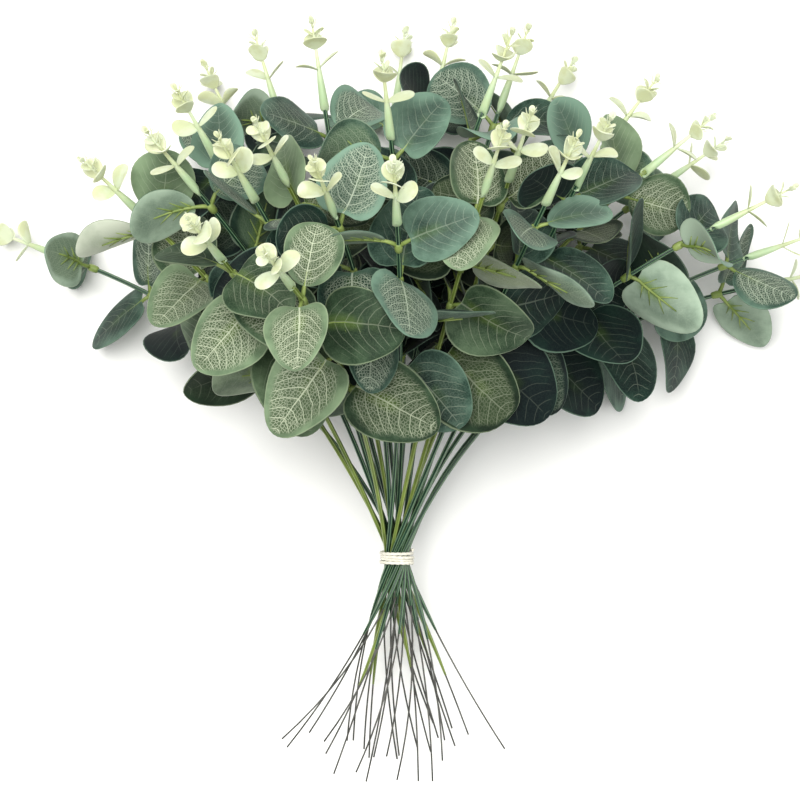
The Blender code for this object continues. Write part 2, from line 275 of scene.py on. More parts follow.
def sweepRod(shape, route, radii, corners, material=0, ribbed=0):
    # a ring is extruded along the route, with every second corner drawn in where it is ribbed
    axes = tangents(route)
    side = axes[0].orthogonal().normalized()
    spot = ringPlace(route[0], axes[0], side, radii[0])
    ring = bmesh.ops.create_circle(shape, cap_ends=True, segments=corners, radius=1)["verts"]
    if ribbed:
        # the crest corners are marked, and the stem finish paints a highlight along them
        ridge = shape.verts.layers.float["ridge"]
        for groove, crest in zip(ring[::2], ring[1::2]):
            groove.co *= 1 - ribbed
            crest[ridge] = 1
    bmesh.ops.transform(shape, matrix=spot, verts=ring)
    edges = list(ring[0].link_edges[0].link_faces[0].edges)
    faces = list(edges[0].link_faces)
    for point, axis, radius in zip(route[1:], axes[1:], radii[1:]):
        side = (side - axis * side.dot(axis)).normalized()
        nextSpot = ringPlace(point, axis, side, radius)
        grown = bmesh.ops.extrude_edge_only(shape, edges=edges)["geom"]
        ring = [item for item in grown if isinstance(item, bmesh.types.BMVert)]
        edges = [edge for edge in grown if isinstance(edge, bmesh.types.BMEdge)
                 and edge.verts[0] in ring and edge.verts[1] in ring]
        faces += [item for item in grown if isinstance(item, bmesh.types.BMFace)]
        bmesh.ops.transform(shape, matrix=nextSpot @ spot.inverted(), verts=ring)
        spot = nextSpot
    faces += bmesh.ops.edgeloop_fill(shape, edges=edges)["faces"]
    bmesh.ops.recalc_face_normals(shape, faces=faces)
    for face in faces:
        face.material_index = material
        face.smooth = True


def newPiece(name, shape, materials, nodes):
    mesh = bpy.data.meshes.new(name)
    shape.to_mesh(mesh)
    shape.free()
    for material in materials:
        mesh.materials.append(material)
    piece = bpy.data.objects.new(name, mesh)
    bpy.context.scene.collection.objects.link(piece)
    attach(piece, "root")
    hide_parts(*nodes)
    return piece


def soften(piece, levels):
    rounding = piece.modifiers.new("rounding", "SUBSURF")
    rounding.levels = levels
    rounding.render_levels = levels


# shader helpers and the groups that several finishes share


def newMaterial(name):
    material = bpy.data.materials.new(name)
    material.use_nodes = True
    return material, material.node_tree, material.node_tree.nodes["Principled BSDF"]


def newGroup(name, inputs, outputs):
    group = bpy.data.node_groups.new(name, "ShaderNodeTree")
    for label, kind, value in inputs:
        socket = group.interface.new_socket(name=label, in_out="INPUT", socket_type=kind)
        if value is not None:
            socket.default_value = value
    for label, kind in outputs:
        group.interface.new_socket(name=label, in_out="OUTPUT", socket_type=kind)
    return group, group.nodes.new("NodeGroupInput").outputs, group.nodes.new("NodeGroupOutput").inputs


def feed(tree, socket, value):
    if isinstance(value, bpy.types.NodeSocket):
        tree.links.new(value, socket)
    else:
        socket.default_value = value


def useGroup(tree, group, **values):
    node = tree.nodes.new("ShaderNodeGroup")
    node.node_tree = group
    for label, value in values.items():
        feed(tree, node.inputs[label], value)
    return node.outputs


def maths(tree, operation, *values, clamp=False):
    node = tree.nodes.new("ShaderNodeMath")
    node.operation = operation
    node.use_clamp = clamp
    for socket, value in zip(node.inputs, values):
        feed(tree, socket, value)
    return node.outputs[0]


def band(tree, value, low, high, lowValue=0.0, highValue=1.0):
    # a value's share between two limits, eased
    node = tree.nodes.new("ShaderNodeMapRange")
    node.interpolation_type = "SMOOTHSTEP"
    for socket, number in zip(node.inputs, (value, low, high, lowValue, highValue)):
        feed(tree, socket, number)
    return node.outputs[0]


def blendColours(tree, share, first, second):
    # inputs 6 and 7 and output 2 are the node's colours
    node = tree.nodes.new("ShaderNodeMix")
    node.data_type = "RGBA"
    feed(tree, node.inputs[0], share)
    feed(tree, node.inputs[6], first if isinstance(first, bpy.types.NodeSocket) else (*first, 1))
    feed(tree, node.inputs[7], second if isinstance(second, bpy.types.NodeSocket) else (*second, 1))
    return node.outputs[2]


def noise(tree, vector, scale, detail, roughness=0.55):
    node = tree.nodes.new("ShaderNodeTexNoise")
    feed(tree, node.inputs["Vector"], vector)
    feed(tree, node.inputs["Scale"], scale)
    feed(tree, node.inputs["Detail"], detail)
    feed(tree, node.inputs["Roughness"], roughness)
    return node.outputs["Fac"]


def place(tree, x, y, z):
    node = tree.nodes.new("ShaderNodeCombineXYZ")
    for socket, value in zip(node.inputs, (x, y, z)):
        feed(tree, socket, value)
    return node.outputs[0]


def netLines(tree, vector, scale, width):
    # the walls between the cells of a net
    node = tree.nodes.new("ShaderNodeTexVoronoi")
    node.voronoi_dimensions = "2D"
    node.feature = "DISTANCE_TO_EDGE"
    feed(tree, node.inputs["Vector"], vector)
    feed(tree, node.inputs["Scale"], scale)
    feed(tree, node.inputs["Randomness"], ink["netRandomness"])
    return band(tree, node.outputs["Distance"], width * ink["netCore"], width, 1.0, 0.0)


def bump(tree, shader, height, strength, distance):
    node = tree.nodes.new("ShaderNodeBump")
    node.inputs["Strength"].default_value = strength
    node.inputs["Distance"].default_value = distance
    tree.links.new(height, node.inputs["Height"])
    tree.links.new(node.outputs[0], shader.inputs["Normal"])


def readValue(tree, name):
    node = tree.nodes.new("ShaderNodeAttribute")
    node.attribute_name = name
    return node.outputs["Fac"]


def objectPlace(tree):
    return tree.nodes.new("ShaderNodeTexCoord").outputs["Object"]


def setShader(shader, **values):
    for label, value in values.items():
        shader.inputs[label.replace("_", " ")].default_value = value


ink = {
    # in shares of the leaf's length; each pair of limits is where an eased change begins and ends
    "seedStep": 37.0,
    "detail": 2.0,
    "wanderScale": 4.0,
    "wander": 0.1,
    "midribWander": 0.3,
    "midribTaper": 1.2,
    "midribWidth": 0.009,
    "midribEdge": (-0.002, 0.004),
    "midribEnd": (0.84, 0.93),
    "sideBow": 2.0,
    "sideClimb": 0.25,
    "sideStart": 2.0,
    "sideSpacing": 0.07,
    "sideEdge": (0.003, 0.0075),
    "printWander": 3.0,
    "printEnd": (0.66, 0.88),
    "netSlant": 0.4,
    "netRandomness": 0.7,
    "netCore": 0.35,
    # (cells to a leaf's length, share of a cell that is wall, strength)
    "wideNet": (9.0, 0.045, 0.5),
    "smallNet": (27.0, 0.15, 0.62),
    "hem": (0.955, 0.985),
    "patchScale": 2.2,
    "blushWidth": (0.02, 0.14),
    "blushEnd": (0.3, 0.75),
    "blushPatches": (0.38, 0.58),
}


def makeVeinGroup():
    # printed veins of a leaf that lies flat in the unit square, its stalk at (0.5, 0) and its tip at (0.5, 1)
    value = "NodeSocketFloat"
    tree, given, put = newGroup(
        "printedVeins",
        (("Flat", "NodeSocketVector", None), ("Rim", value, 0.0), ("Seed", value, 0.0)),
        [(label, value) for label in ("Ribs", "Net", "Printed", "Hem", "Patch", "Blush")])
    split = tree.nodes.new("ShaderNodeSeparateXYZ")
    tree.links.new(given["Flat"], split.inputs[0])
    acrossLeaf, upLeaf = split.outputs[0], split.outputs[1]
    seed = maths(tree, "MULTIPLY", given["Seed"], ink["seedStep"])
    spot = place(tree, acrossLeaf, upLeaf, seed)
    wander = maths(tree, "SUBTRACT", noise(tree, spot, ink["wanderScale"], ink["detail"]), 0.5)
    wander = maths(tree, "MULTIPLY", wander, ink["wander"])
    x = maths(tree, "SUBTRACT", acrossLeaf, 0.5)
    x = maths(tree, "ADD", x, maths(tree, "MULTIPLY", wander, ink["midribWander"]))
    out = maths(tree, "ABSOLUTE", x)
    # side veins leave the midrib, arch out and run up towards the tip
    bow = maths(tree, "MULTIPLY", maths(tree, "MULTIPLY", out, out), ink["sideBow"])
    rise = maths(tree, "ADD", maths(tree, "MULTIPLY", out, ink["sideClimb"]), bow)
    along = maths(tree, "ADD", maths(tree, "SUBTRACT", upLeaf, rise), wander)
    along = maths(tree, "ADD", along, ink["sideStart"])
    between = maths(tree, "PINGPONG", along, ink["sideSpacing"])
    midWidth = maths(tree, "SUBTRACT", ink["midribTaper"], upLeaf)
    midWidth = maths(tree, "MULTIPLY", midWidth, ink["midribWidth"])
    midrib = band(tree, maths(tree, "SUBTRACT", out, midWidth), *ink["midribEdge"], 1.0, 0.0)
    midrib = maths(tree, "MULTIPLY", midrib, band(tree, upLeaf, *ink["midribEnd"], 1.0, 0.0))
    sides = band(tree, between, *ink["sideEdge"], 1.0, 0.0)
    # the print ends in an uneven line before the rim
    edge = maths(tree, "ADD", given["Rim"], maths(tree, "MULTIPLY", wander, ink["printWander"]))
    printed = band(tree, edge, *ink["printEnd"], 1.0, 0.0)
    ribs = maths(tree, "MAXIMUM", midrib, maths(tree, "MULTIPLY", sides, printed))
    # the net between them: wide cells with thicker walls, and small ones inside
    slanted = maths(tree, "SUBTRACT", upLeaf, maths(tree, "MULTIPLY", rise, ink["netSlant"]))
    cells = place(tree, maths(tree, "ADD", x, seed), slanted, 0.0)
    nets = []
    for scale, width, strength in (ink["wideNet"], ink["smallNet"]):
        nets.append(maths(tree, "MULTIPLY", netLines(tree, cells, scale, width), strength))
    net = maths(tree, "MAXIMUM", *nets)
    patch = noise(tree, spot, ink["patchScale"], ink["detail"])
    # a yellow-green blush runs up both sides of the midrib
    beside = band(tree, out, *ink["blushWidth"], 1.0, 0.0)
    blush = maths(tree, "MULTIPLY", beside, band(tree, upLeaf, *ink["blushEnd"], 1.0, 0.0))
    blush = maths(tree, "MULTIPLY", blush, band(tree, patch, *ink["blushPatches"]))
    tree.links.new(ribs, put["Ribs"])
    tree.links.new(maths(tree, "MULTIPLY", net, printed), put["Net"])
    tree.links.new(printed, put["Printed"])
    tree.links.new(band(tree, given["Rim"], *ink["hem"]), put["Hem"])
    tree.links.new(patch, put["Patch"])
    tree.links.new(blush, put["Blush"])
    return tree


mottling = {
    "patchSize": 80.0,
    "patchDetail": 3.0,
    "patchLimits": (0.3, 0.7),
    "grainSize": 1500.0,
    # (detail, roughness)
    "grain": (2.0, 0.6),
}


def makeMottleGroup():
    # soft patches and fine grain, for the uneven colour of dyed cloth and moulded plastic
    value = "NodeSocketFloat"
    sizes = (("Patch Size", value, mottling["patchSize"]), ("Grain Size", value, mottling["grainSize"]))
    tree, given, put = newGroup(
        "mottle",
        (("Vector", "NodeSocketVector", None), *sizes),
        (("Patches", value), ("Grain", value)))
    patches = noise(tree, given["Vector"], given["Patch Size"], mottling["patchDetail"])
    grain = noise(tree, given["Vector"], given["Grain Size"], *mottling["grain"])
    tree.links.new(band(tree, patches, *mottling["patchLimits"]), put["Patches"])
    tree.links.new(grain, put["Grain"])
    return tree


printedVeins = makeVeinGroup()
mottle = makeMottleGroup()

# leaves

cloth = {
    "steps": (6, 9),
    "smoothing": 1,
    "shadingWeight": 100,
    "thickness": 0.00042,
    "floorRoom": 0.0001,
    "growth": 1.03,
    "taper": 0.2,
    "lopsided": 0.09,
    "swerve": 0.006,
    "tipReach": 0.5,
    "tipNarrowing": 0.08,
    "lobe": 0.15,
    "lobeReach": 0.7,
    "lobeRounding": 1.5,
    "lobeEnd": 2.2,
    "waveCount": 2.6,
    "waveSlant": 1.4,
    # what is drawn for each leaf
    "seed": 500,
    "points": (0.0, 0.06),
    "folds": (-0.0015, 0.004),
    "waves": (0.0006, 0.0026),
    "wavePhases": (0, 6),
    "twists": (-0.28, 0.28),
    "netted": (1.0, 0.8, 0.3, 0.1, 0.0, 0.0, 0.0),
    "frontNetted": (0.0, 0.0, 0.1, 0.8, 0.9, 1.0),
    # each leaf's tone is drawn at random, then painted lighter on the back picks and painted darker, as
    # shade, for each whorl further in and each leaf over it
    "toneCurve": 0.7,
    "backPaintedLight": 0.22,
    "frontPaintedLight": 0.06,
    "whorlShade": 0.13,
    "coverShade": 0.16,
    "coverHeight": 0.008,
    "coverRadius": 0.022,
    # a leaf beside a spray's socket
    "socketDepth": 0.004,
    "socketRoom": 0.009,
    "socketTaper": -0.15,
    "socketSides": (-1, -0.5, 0, 0.5, 1),
    "calm": 0.1,
    # how the dye and the print lie; each pair of limits is where an eased change begins and ends
    "toneShare": 0.75,
    "patchShare": 0.25,
    "darkLimits": (0.05, 0.5),
    "lightLimits": (0.3, 1.0),
    "middleLimits": (0.25, 0.95),
    "groundShare": 0.75,
    "fibreLimits": (0.35, 0.75),
    "fibreShare": 0.16,
    "fibreTones": (0.0, 0.5),
    "leastFibres": 0.2,
    "fadeLimits": (0.28, 0.6),
    "leastFade": 0.5,
    "plainRibs": 0.2,
    "nettedRibs": 0.7,
    "lineTones": (0.0, 0.35),
    "leastLines": 0.3,
    "hemShare": 0.5,
    "roughGrain": 0.15,
    "lineHeight": -0.5,
    "grainHeight": 0.5,
    "bump": (0.35, 0.0002),
    "sheen": 0.04,
    "sheenRoughness": 0.5,
    "specular": 0.12,
    # the deepest colour serves both the darkest dye and the painted shade; middle is how far the middle of a
    # leaf is darkened towards it, partly dye and partly painted shade
    "teal": {"deepDyeAndShade": (0.001, 0.005, 0.006), "dark": (0.007, 0.027, 0.018), "light": (0.165, 0.27, 0.2),
             "print": (0.46, 0.53, 0.41), "ground": (0.02, 0.042, 0.024), "hem": (0.15, 0.24, 0.17),
             "blush": (0.07, 0.13, 0.012), "blushing": 0.25, "middle": 0.6},
    "oliveTop": {"deepDyeAndShade": (0.005, 0.014, 0.006), "dark": (0.023, 0.05, 0.024), "light": (0.2, 0.28, 0.165),
                 "print": (0.52, 0.57, 0.42), "ground": (0.04, 0.062, 0.026), "hem": (0.26, 0.32, 0.2),
                 "blush": (0.12, 0.19, 0.02), "blushing": 0.3, "middle": 0.45},
    "sage": {"deepDyeAndShade": (0.009, 0.026, 0.017), "dark": (0.055, 0.107, 0.07), "light": (0.36, 0.46, 0.35),
             "print": (0.4, 0.47, 0.34), "ground": (0.08, 0.135, 0.075), "hem": (0.32, 0.4, 0.29),
             "blush": (0.1, 0.17, 0.02), "blushing": 0.7, "middle": 0.35},
    "silver": {"deepDyeAndShade": (0.07, 0.105, 0.065), "dark": (0.2, 0.26, 0.17), "light": (0.55, 0.59, 0.48),
               "print": (0.62, 0.65, 0.53), "ground": (0.24, 0.3, 0.17), "hem": (0.52, 0.56, 0.45),
               "blush": (0.19, 0.28, 0.04), "blushing": 0.8, "middle": 0.25},
}


def makeCloth(name, colours, printing, roughness):
    material, tree, shader = newMaterial(name)
    flat = tree.nodes.new("ShaderNodeUVMap")
    flat.uv_map = "flat"
    # the tone value carries each leaf's drawn tone together with its painted light and shade
    toneAndShade, netted, rim = (readValue(tree, value) for value in ("toneAndShade", "netted", "rim"))
    veins = useGroup(tree, printedVeins, Flat=flat.outputs[0], Rim=rim, Seed=toneAndShade)
    mottled = useGroup(tree, mottle, Vector=objectPlace(tree))
    patches, grain = mottled["Patches"], mottled["Grain"]
    # the dye runs from the deepest colour to the lightest with the tone, and so with the painted light and
    # shade in it
    shade = maths(tree, "MULTIPLY", toneAndShade, cloth["toneShare"])
    shade = maths(tree, "ADD", shade, maths(tree, "MULTIPLY", patches, cloth["patchShare"]))
    dyed = blendColours(tree, band(tree, shade, *cloth["darkLimits"]), colours["deepDyeAndShade"], colours["dark"])
    dyed = blendColours(tree, band(tree, shade, *cloth["lightLimits"]), dyed, colours["light"])
    # the middle of a leaf is darker than its rim, partly its dye and partly painted shade from the leaves
    # over its base, and darker still where the net is printed
    middle = band(tree, rim, *cloth["middleLimits"], colours["middle"], 0.0)
    dyed = blendColours(tree, middle, dyed, colours["deepDyeAndShade"])
    inside = maths(tree, "MULTIPLY", maths(tree, "MULTIPLY", veins["Printed"], netted), cloth["groundShare"])
    dyed = blendColours(tree, inside, dyed, colours["ground"])
    blush = maths(tree, "MULTIPLY", veins["Blush"], colours["blushing"])
    dyed = blendColours(tree, blush, dyed, colours["blush"])
    # pale fibres of the grain, fainter on the leaves darkened by painted shade
    fibres = band(tree, grain, *cloth["fibreLimits"], 0.0, cloth["fibreShare"])
    fibreTone = band(tree, toneAndShade, *cloth["fibreTones"], cloth["leastFibres"], 1.0)
    dyed = blendColours(tree, maths(tree, "MULTIPLY", fibres, fibreTone), dyed, colours["light"])
    # the print fades in patches, and on the darkest leaves, most of which are darkened by painted shade
    fade = band(tree, veins["Patch"], *cloth["fadeLimits"], cloth["leastFade"] * printing, printing)
    net = maths(tree, "MULTIPLY", maths(tree, "MULTIPLY", veins["Net"], netted), fade)
    ribShare = maths(tree, "ADD", maths(tree, "MULTIPLY", netted, cloth["nettedRibs"]), cloth["plainRibs"])
    ribs = maths(tree, "MULTIPLY", maths(tree, "MULTIPLY", veins["Ribs"], ribShare), printing)
    lines = maths(tree, "MAXIMUM", net, ribs, clamp=True)
    lines = maths(tree, "MULTIPLY", lines, band(tree, toneAndShade, *cloth["lineTones"], cloth["leastLines"], 1.0))
    coloured = blendColours(tree, lines, dyed, colours["print"])
    hem = maths(tree, "MULTIPLY", veins["Hem"], cloth["hemShare"])
    coloured = blendColours(tree, hem, coloured, colours["hem"])
    tree.links.new(coloured, shader.inputs["Base Color"])
    rough = maths(tree, "ADD", roughness, maths(tree, "MULTIPLY", grain, cloth["roughGrain"]))
    tree.links.new(rough, shader.inputs["Roughness"])
    lineHeight = maths(tree, "MULTIPLY", lines, cloth["lineHeight"])
    height = maths(tree, "ADD", lineHeight, maths(tree, "MULTIPLY", grain, cloth["grainHeight"]))
    bump(tree, shader, height, *cloth["bump"])
    setShader(shader, Sheen_Weight=cloth["sheen"], Sheen_Roughness=cloth["sheenRoughness"],
              Specular_IOR_Level=cloth["specular"])
    return material


tealCloth = makeCloth("tealPrintedCloth", cloth["teal"], 0.9, 0.5)
oliveCloth = makeCloth("olivePrintedCloth", cloth["oliveTop"], 0.9, 0.5)
sageBacking = makeCloth("sageClothBacking", cloth["sage"], 0.5, 0.6)
silverBacking = makeCloth("silverClothBacking", cloth["silver"], 0.35, 0.6)


def bladePoint(pose, angle, side):
    # a point of the blade's middle surface, its normal and its place on the flat leaf
    # the angle runs from the stalk to the tip, and the side from one rim to the other
    length, halfWidth = pose["length"] * cloth["growth"], pose["halfWidth"] * cloth["growth"]
    arch = pose["arch"]
    along, normal = pose["along"], pose["normal"]
    fromTip = (math.pi - angle) / cloth["tipReach"]
    fromStalk = angle / cloth["lobeReach"]
    run = (1 - math.cos(angle)) / 2
    run += pose["point"] * math.exp(-fromTip ** 2)
    if angle < cloth["lobeEnd"]:
        run -= pose["lobe"] * abs(side) ** cloth["lobeRounding"] * fromStalk * math.exp(1 - fromStalk)
    lean = arch * run
    reach, sink = math.sin(lean) / arch * length, (1 - math.cos(lean)) / arch * length
    localNormal = normal * math.cos(lean) + along * math.sin(lean)
    sideways = along.cross(normal)
    width = math.sin(angle) * (1 + pose["taper"] * math.cos(angle))
    width *= 1 - cloth["tipNarrowing"] * math.exp(-fromTip ** 2)
    width *= 1 + cloth["lopsided"] * math.sin(pose["wavePhase"]) * math.copysign(1, side)
    share = side * width
    offset = share * halfWidth
    swerve = cloth["swerve"] * pose["twist"] * math.sin(angle)
    # each half is folded up a little along the midrib, and the rim waves
    fold = pose["folds"][side > 0]
    wavePlace = cloth["waveCount"] * angle + pose["wavePhase"] + cloth["waveSlant"] * side
    wave = pose["wave"] * share * share * math.sin(wavePlace)
    rise = pose["cup"] * share * share + fold * abs(share) + wave + offset * math.sin(pose["twist"] * run)
    point = pose["base"] + along * reach - normal * sink + sideways * (offset + swerve) + localNormal * rise
    tilt = (2 * pose["cup"] * share + math.copysign(fold, side) * (side != 0)) / halfWidth
    facing = (localNormal - sideways * tilt).normalized()
    point, facing = press(point, facing, cloth["thickness"] / 2 + cloth["floorRoom"])
    return point + shift, facing, (0.5 + offset / length, run)


bladeValues = ("rim", "toneAndShade", "netted")


def addBlade(shape, pose):
    flat = shape.loops.layers.uv["flat"]
    rim, toneAndShade, netted = (shape.verts.layers.float[name] for name in bladeValues)
    columns, rows = cloth["steps"]
    made = bmesh.ops.create_grid(shape, x_segments=columns, y_segments=rows, size=1)["verts"]
    spots = {corner: bladePoint(pose, (corner.co.y + 1) * math.pi / 2, corner.co.x) for corner in made}
    for face in {face for corner in made for face in corner.link_faces}:
        face.smooth = True
        for loop in face.loops:
            loop[flat].uv = spots[loop.vert][2]
    for corner, (point, facing, onFlat) in spots.items():
        inside = (1 - abs(corner.co.x)) * math.sin((corner.co.y + 1) * math.pi / 2)
        corner[rim], corner[toneAndShade], corner[netted] = 1 - inside, pose["toneAndShade"], pose["netted"]
        corner.co = point
    bmesh.ops.remove_doubles(shape, verts=made, dist=mergeDistance)


def makeLeaves(pick):
    shape = bmesh.new()
    shape.loops.layers.uv.new("flat")
    for name in bladeValues:
        shape.verts.layers.float.new(name)
    for pose in pick["leaves"]:
        addBlade(shape, pose)
    finishes = (oliveCloth, silverBacking) if pick["olive"] else (tealCloth, sageBacking)
    piece = newPiece(pick["name"] + "_leaves", shape, finishes, [pick["name"] + "_stem"])
    soften(piece, cloth["smoothing"])
    body = piece.modifiers.new("clothThickness", "SOLIDIFY")
    body.thickness = cloth["thickness"]
    body.offset = 0
    body.use_even_offset = True
    body.material_offset = 1
    body.material_offset_rim = 0
    evened = piece.modifiers.new("evenShading", "WEIGHTED_NORMAL")
    evened.weight = cloth["shadingWeight"]


def leafMiddle(pose):
    return pose["base"] + pose["along"] * pose["length"] / 2


middles = [leafMiddle(pose) for pick in picks for pose in pick["leaves"]]
sockets = [pick["tip"] - pick["tipAxis"] * cloth["socketDepth"] + shift for pick in picks]


# counts the leaves over a spot; each one adds painted shade to the leaf below
def leavesAbove(spot):
    height, radius = cloth["coverHeight"], cloth["coverRadius"]
    return sum(other.z > spot.z + height and (other - spot).xy.length < radius for other in middles)


def besideSocket(pose):
    angles = [math.radians(angle) for angle in range(0, 181, 30)]
    spots = [bladePoint(pose, angle, side)[0] for angle in angles for side in cloth["socketSides"]]
    return any((socket - spot).length < cloth["socketRoom"] for socket in sockets for spot in spots)


for pick in picks:
    draw = random.Random(cloth["seed"] + pick["number"])
    for pose in pick["leaves"]:
        # painted light and shade: the leaves of the back picks are painted lighter, and the leaves further
        # in, and those under others, are painted darker, as if shaded
        covered = leavesAbove(leafMiddle(pose))
        paintedLight = cloth["backPaintedLight" if pick["lift"] < bunch["frontLift"] else "frontPaintedLight"]
        darker = cloth["whorlShade"] * pose["whorl"]
        toneAndShade = draw.random() ** cloth["toneCurve"] + paintedLight - darker - cloth["coverShade"] * covered
        pose["toneAndShade"] = max(0.0, toneAndShade)
        pose["netted"] = draw.choice(cloth["frontNetted" if pick["lift"] > bunch["frontLift"] else "netted"])
        pose["point"] = draw.uniform(*cloth["points"])
        pose["folds"] = [draw.uniform(*cloth["folds"]) for half in range(2)]
        pose["wave"] = draw.uniform(*cloth["waves"])
        pose["wavePhase"] = draw.uniform(*cloth["wavePhases"])
        pose["twist"] = draw.uniform(*cloth["twists"])
        pose["lobe"], pose["taper"] = cloth["lobe"], cloth["taper"]
        if besideSocket(pose):
            # flatter, without lobes and narrower at the stalk, so that it stays clear of the spray
            pose["lobe"], pose["taper"] = 0, cloth["socketTaper"]
            pose["folds"] = [fold * cloth["calm"] for fold in pose["folds"]]
            pose["wave"] *= cloth["calm"]
            pose["twist"] *= cloth["calm"]
    makeLeaves(pick)
print("leaves made")

# stems, wires and the moulded leaf stalks

stem = {
    "ridges": 5,
    "grooveDepth": 0.22,
    "radius": 0.00112,
    "waistRadius": 0.0009,
    "waistReach": 0.006,
    "steps": 26,
    "coatSteps": 10,
    "thinning": (0.5, 0.68, 0.82, 0.93),
    "wireRadius": 0.0004,
    "wireSteps": 9,
    "wireInside": 0.04,
    "roundCorners": 8,
    # (share of the solid's coated length, share added) of the dark and the olive picks
    "darkCoat": (0.75, 0.02),
    "oliveCoat": (0.6, 0.36),
    # (reach along the stem, radius)
    "collar": ((-0.0030, 0.0012), (-0.0022, 0.0017), (0.0002, 0.0019), (0.0016, 0.0017), (0.0024, 0.0012)),
    "petioleKnee": 0.55,
    "petioleCorners": 5,
    "petioleRadii": (0.0011, 0.0010, 0.00085, 0.0008, 0.0007, 0.0005, 0.0003),
    "midribAngles": (4, 30, 55, 80, 105),
    "ribSink": 0.0004,
    # (angle where it leaves the midrib, side that it reaches)
    "sideRibs": ((28, 0.42), (48, 0.40), (70, 0.34)),
    "sideRibClimb": 26,
    "sideRibRise": 0.4,
    "sideRibCorners": 4,
    "sideRibRadii": (0.00055, 0.0004, 0.00018),
    # (share of the patches, share of the grain) in the colour, and the looks of each plastic
    "mix": (0.6, 0.4),
    "roughGrain": 0.2,
    "bump": (0.15, 0.0001),
    # where and how strongly the highlight is painted along the rib crests
    "ridgeHighlightLimits": (0.62, 0.97),
    "ridgeHighlightShare": 0.9,
    "gloss": 0.12,
    "glossRoughness": 0.25,
    "specular": 0.3,
    "darkGreen": ((0.002, 0.012, 0.007), (0.012, 0.046, 0.027)),
    # the pale highlight painted along the crests of the dark ribs
    "darkRidgeHighlight": (0.27, 0.47, 0.25),
    "darkRoughness": 0.28,
    "oliveGreen": ((0.045, 0.08, 0.01), (0.2, 0.27, 0.05)),
    # the pale highlight painted along the crests of the olive ribs
    "oliveRidgeHighlight": (0.42, 0.52, 0.18),
    "oliveRoughness": 0.3,
    "stalkGreen": ((0.09, 0.15, 0.025), (0.27, 0.34, 0.1)),
    "stalkPatchSize": 120.0,
    "stalkRoughness": 0.35,
    "steel": ((0.025, 0.025, 0.022), (0.13, 0.13, 0.12)),
    "steelMetal": 0.6,
    "steelRoughness": 0.35,
}


def makePlastic(name, colours, roughness, ridgeHighlight=None, patchSize=60.0, metal=0.0, gloss=0.0):
    material, tree, shader = newMaterial(name)
    mottled = useGroup(tree, mottle, **{"Vector": objectPlace(tree), "Patch Size": patchSize})
    patches, grain = mottled["Patches"], mottled["Grain"]
    patchShare, grainShare = stem["mix"]
    shade = maths(tree, "MULTIPLY", patches, patchShare)
    shade = maths(tree, "ADD", shade, maths(tree, "MULTIPLY", grain, grainShare))
    coloured = blendColours(tree, shade, *colours)
    if ridgeHighlight:
        # a highlight is painted along the crests of the ribs
        crest = band(tree, readValue(tree, "ridge"), *stem["ridgeHighlightLimits"], 0.0, stem["ridgeHighlightShare"])
        coloured = blendColours(tree, crest, coloured, ridgeHighlight)
    tree.links.new(coloured, shader.inputs["Base Color"])
    rough = maths(tree, "ADD", roughness, maths(tree, "MULTIPLY", grain, stem["roughGrain"]))
    tree.links.new(rough, shader.inputs["Roughness"])
    bump(tree, shader, grain, *stem["bump"])
    setShader(shader, Metallic=metal, Coat_Weight=gloss, Coat_Roughness=stem["glossRoughness"],
              Specular_IOR_Level=stem["specular"])
    return material


darkCoat = makePlastic("darkStemCoating", stem["darkGreen"], stem["darkRoughness"], stem["darkRidgeHighlight"],
                       gloss=stem["gloss"])
oliveCoat = makePlastic("oliveStemCoating", stem["oliveGreen"], stem["oliveRoughness"], stem["oliveRidgeHighlight"],
                        gloss=stem["gloss"])
stalkPlastic = makePlastic("mouldedLeafStalk", stem["stalkGreen"], stem["stalkRoughness"],
                           patchSize=stem["stalkPatchSize"])
steelWire = makePlastic("bareSteelWire", stem["steel"], stem["steelRoughness"], metal=stem["steelMetal"])


def evenSteps(first, last, count):
    return [first + (last - first) * step / (count - 1) for step in range(count)]


def addPetiole(shape, pose):
    # from the stem to the blade, then on as a raised rib under it
    root, base = pose["root"] + shift, pose["base"] + shift
    route = [root, root.lerp(base, stem["petioleKnee"])]
    for angle in stem["midribAngles"]:
        point, facing, onFlat = bladePoint(pose, math.radians(angle), 0)
        route.append(point - facing * stem["ribSink"])
    sweepRod(shape, route, stem["petioleRadii"], stem["petioleCorners"], material=2)
    for angle, side in stem["sideRibs"]:
        for sign in (-1, 1):
            rib = []
            for share in (0, 0.5, 1):
                ribAngle = math.radians(angle + stem["sideRibClimb"] * share)
                point, facing, onFlat = bladePoint(pose, ribAngle, sign * side * share)
                rib.append(point - facing * stem["ribSink"] * (1 - stem["sideRibRise"] * share))
            sweepRod(shape, rib, stem["sideRibRadii"], stem["sideRibCorners"], material=2)


